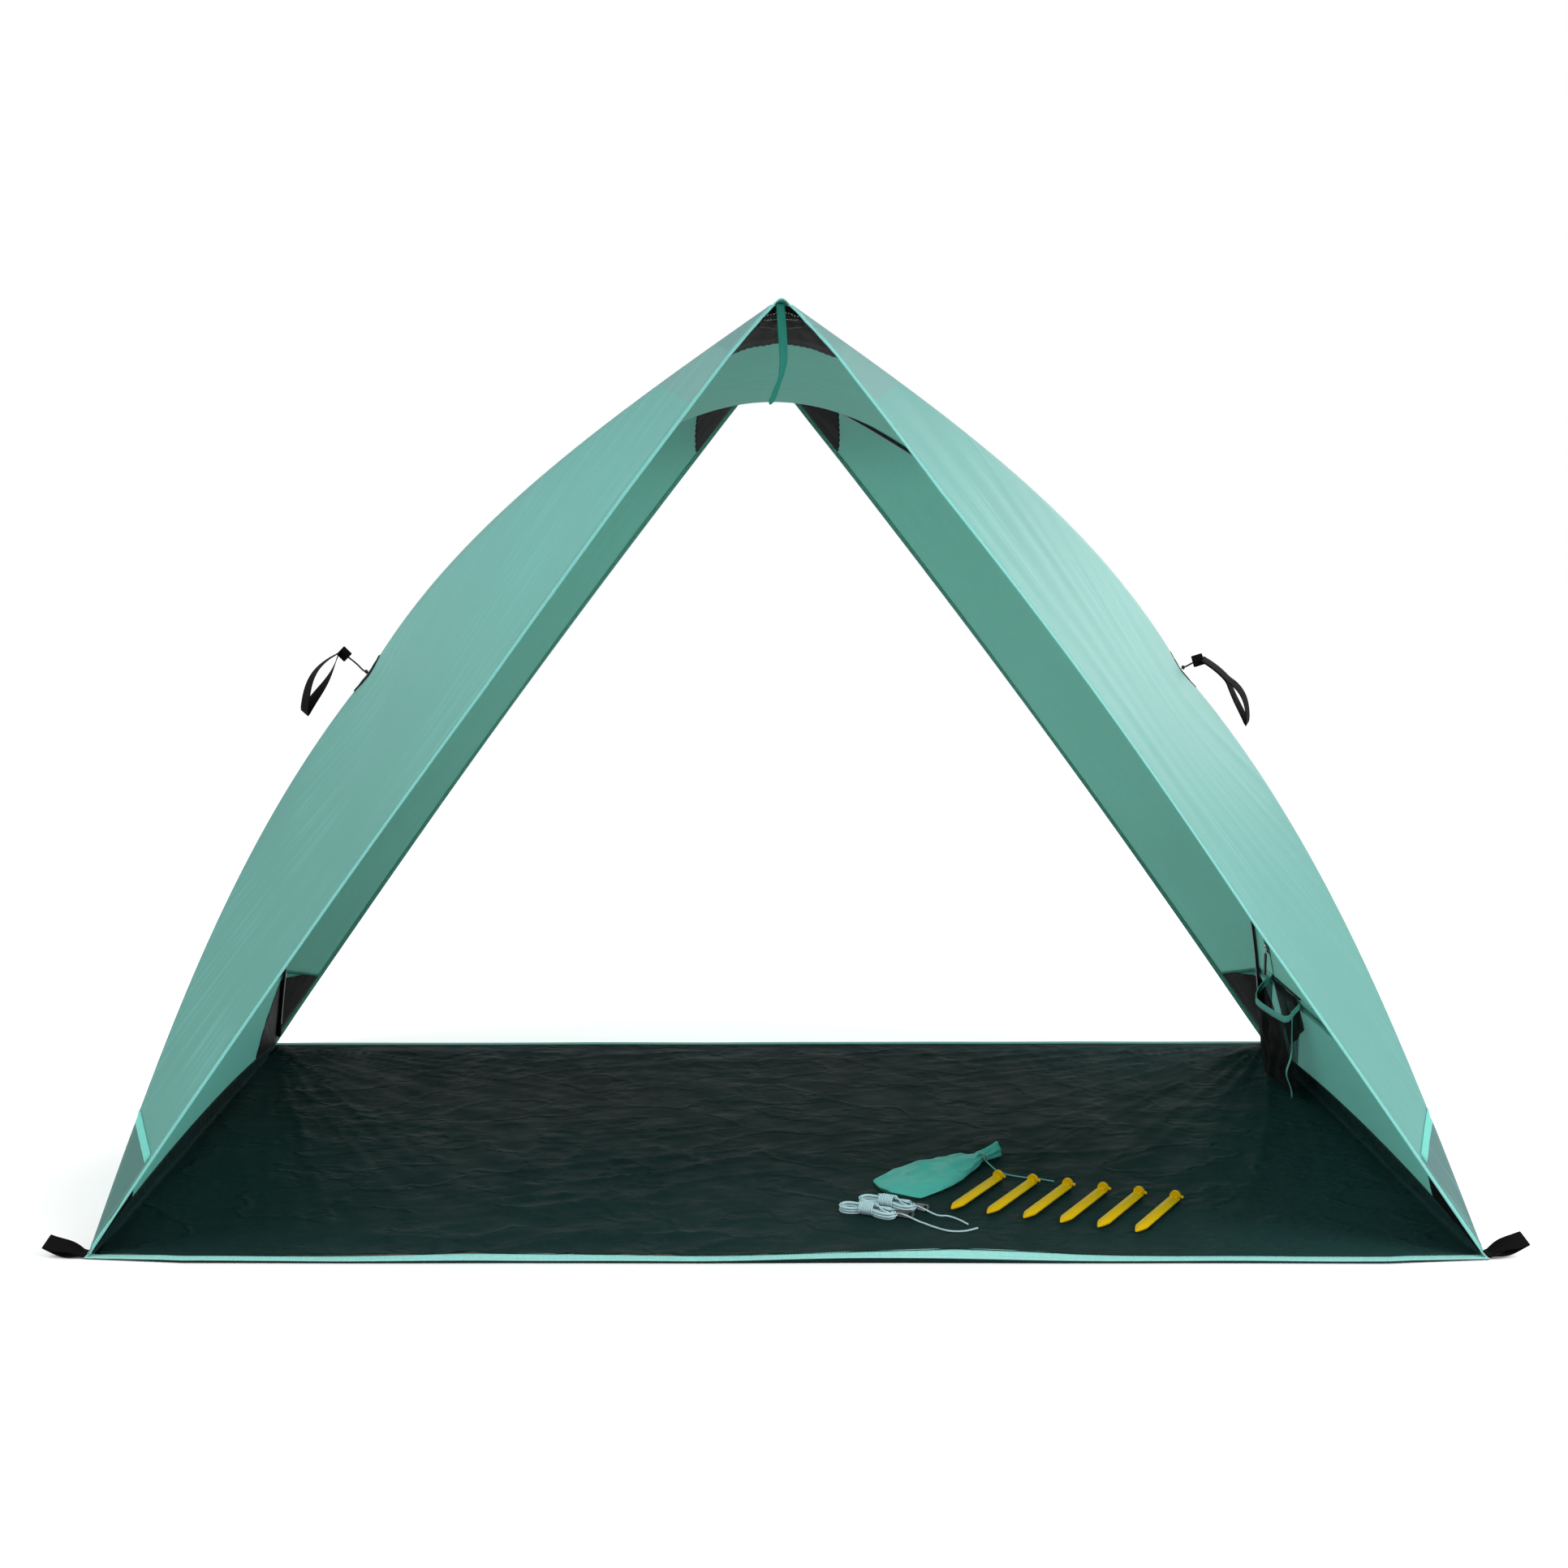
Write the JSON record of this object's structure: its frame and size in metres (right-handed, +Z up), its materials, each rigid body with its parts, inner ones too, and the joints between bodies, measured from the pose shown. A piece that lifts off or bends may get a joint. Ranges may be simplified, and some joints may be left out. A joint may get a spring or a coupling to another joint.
{
  "type": "beach tent",
  "caption": "Open-ended A-frame beach tent on bowed poles, with a dark groundsheet, webbing peg loops, a mesh pocket, loose pegs, a pouch and wound guy lines.",
  "frame": {"origin": "centre of the groundsheet's underside, on the ground", "axes": "+X to the right along the tent's width seen from the front opening, +Y from the front opening to the rear one, +Z up"},
  "size_m": [2.3132, 1.2014, 1.4685],
  "materials": {
    "canopy_cloth": "matt coated polyester",
    "binding_tape": "woven tape",
    "groundsheet_cloth": "coated woven sheet, semi-gloss",
    "black_cloth": "dense black weave",
    "mesh_cloth": "open net",
    "pole_glass": "glass-fibre rod",
    "black_plastic": "moulded",
    "zip_metal": "bare metal",
    "peg_plastic": "moulded, slightly translucent",
    "guy_cord": "braided cord"
  },
  "bodies": {
    "tent": {"apex_patch_front": "black_cloth", "apex_patch_rear": "black_cloth", "canopy_left": "canopy_cloth", "canopy_right": "canopy_cloth", "corner_patch_front_left": "black_cloth", "corner_patch_front_right": "black_cloth", "corner_patch_rear_left": "black_cloth", "corner_patch_rear_right": "black_cloth", "edge_binding_front": "binding_tape", "edge_binding_rear": "binding_tape", "ground_hem_front": "binding_tape", "ground_hem_rear": "binding_tape", "groundsheet": "groundsheet_cloth", "pocket_mesh": "mesh_cloth", "pocket_rim": "binding_tape", "pole_front_left_foot": "pole_glass", "pole_front_left_head": "pole_glass", "pole_front_left_middle": "pole_glass", "pole_front_right_foot": "pole_glass", "pole_front_right_head": "pole_glass", "pole_front_right_middle": "pole_glass", "pole_rear_left_foot": "pole_glass", "pole_rear_left_head": "pole_glass", "pole_rear_left_middle": "pole_glass", "pole_rear_right_foot": "pole_glass", "pole_rear_right_head": "pole_glass", "pole_rear_right_middle": "pole_glass", "seam_tape_left": "binding_tape", "seam_tape_right": "binding_tape", "skirt_left": "canopy_cloth", "skirt_right": "canopy_cloth", "tie_out_patch_left": "black_cloth", "tie_out_patch_right": "black_cloth", "zip_chain": "black_plastic"},
    "peg_1_body": {"peg_1": "peg_plastic"},
    "peg_2_body": {"peg_2": "peg_plastic"},
    "peg_3_body": {"peg_3": "peg_plastic"},
    "peg_4_body": {"peg_4": "peg_plastic"},
    "peg_5_body": {"peg_5": "peg_plastic"},
    "peg_6_body": {"peg_6": "peg_plastic"},
    "peg_pouch_body": {"peg_pouch": "canopy_cloth", "pouch_drawcord": "binding_tape"},
    "guy_line_a": {"guy_hank_a": "guy_cord", "guy_tail_a": "guy_cord", "guy_tensioner_a": "black_plastic"},
    "guy_line_b": {"guy_hank_b": "guy_cord", "guy_tail_b": "guy_cord", "guy_tensioner_b": "black_plastic"},
    "side_tie_out_left": {"tie_out_cord_left": "black_plastic", "side_loop_left": "black_cloth"},
    "side_tie_out_right": {"tie_out_cord_right": "black_plastic", "side_loop_right": "black_cloth"},
    "corner_loop_front_left_body": {"corner_loop_front_left": "black_cloth"},
    "corner_loop_front_right_body": {"corner_loop_front_right": "black_cloth"},
    "corner_loop_rear_left_body": {"corner_loop_rear_left": "black_cloth"},
    "corner_loop_rear_right_body": {"corner_loop_rear_right": "black_cloth"},
    "apex_strap_body": {"apex_strap": "binding_tape"},
    "zip_slider_body": {"zip_slider": "zip_metal"},
    "zip_pull_body": {"zip_pull": "black_plastic"}
  },
  "joints": [
    {"name": "peg_1_body_lift", "type": "slide", "parent": "tent", "child": "peg_1_body", "axis": [0, 0, 1], "range_m": [0, 0.25]},
    {"name": "peg_2_body_lift", "type": "slide", "parent": "tent", "child": "peg_2_body", "axis": [0, 0, 1], "range_m": [0, 0.25]},
    {"name": "peg_3_body_lift", "type": "slide", "parent": "tent", "child": "peg_3_body", "axis": [0, 0, 1], "range_m": [0, 0.25]},
    {"name": "peg_4_body_lift", "type": "slide", "parent": "tent", "child": "peg_4_body", "axis": [0, 0, 1], "range_m": [0, 0.25]},
    {"name": "peg_5_body_lift", "type": "slide", "parent": "tent", "child": "peg_5_body", "axis": [0, 0, 1], "range_m": [0, 0.25]},
    {"name": "peg_6_body_lift", "type": "slide", "parent": "tent", "child": "peg_6_body", "axis": [0, 0, 1], "range_m": [0, 0.25]},
    {"name": "peg_pouch_body_lift", "type": "slide", "parent": "tent", "child": "peg_pouch_body", "axis": [0, 0, 1], "range_m": [0, 0.25]},
    {"name": "guy_line_a_lift", "type": "slide", "parent": "tent", "child": "guy_line_a", "axis": [0, 0, 1], "range_m": [0, 0.25]},
    {"name": "guy_line_b_lift", "type": "slide", "parent": "tent", "child": "guy_line_b", "axis": [0, 0, 1], "range_m": [0, 0.25]},
    {"name": "side_tie_out_left_swing", "type": "hinge", "parent": "tent", "child": "side_tie_out_left", "pos_m": [-0.74143, 0, 0.87827], "axis": [0, -1, 0], "range_deg": [-100, 16]},
    {"name": "side_tie_out_right_swing", "type": "hinge", "parent": "tent", "child": "side_tie_out_right", "pos_m": [0.74143, 0, 0.87827], "axis": [0, 1, 0], "range_deg": [-100, 16]},
    {"name": "corner_loop_front_left_fold", "type": "hinge", "parent": "tent", "child": "corner_loop_front_left_body", "pos_m": [-1.1, -0.5875, 0.0015], "axis": [0, -1, 0], "range_deg": [-62, 26]},
    {"name": "corner_loop_front_right_fold", "type": "hinge", "parent": "tent", "child": "corner_loop_front_right_body", "pos_m": [1.1, -0.5875, 0.0015], "axis": [0, 1, 0], "range_deg": [-62, 26]},
    {"name": "corner_loop_rear_left_fold", "type": "hinge", "parent": "tent", "child": "corner_loop_rear_left_body", "pos_m": [-1.1, 0.5875, 0.0015], "axis": [0, -1, 0], "range_deg": [-62, 26]},
    {"name": "corner_loop_rear_right_fold", "type": "hinge", "parent": "tent", "child": "corner_loop_rear_right_body", "pos_m": [1.1, 0.5875, 0.0015], "axis": [0, 1, 0], "range_deg": [-62, 26]},
    {"name": "apex_strap_swing", "type": "hinge", "parent": "tent", "child": "apex_strap_body", "pos_m": [0, -0.59385, 1.45931], "axis": [1, 0, 0], "range_deg": [-45, 55]},
    {"name": "zip_slider_travel", "type": "slide", "parent": "tent", "child": "zip_slider_body", "axis": [-0.2897, -0.0006, 0.9571], "range_m": [0, 0.086]},
    {"name": "zip_pull_swing", "type": "hinge", "parent": "zip_slider_body", "child": "zip_pull_body", "pos_m": [1.01377, 0.34506, 0.2716], "axis": [0, 1, 0], "range_deg": [-9, 110]}
  ]
}
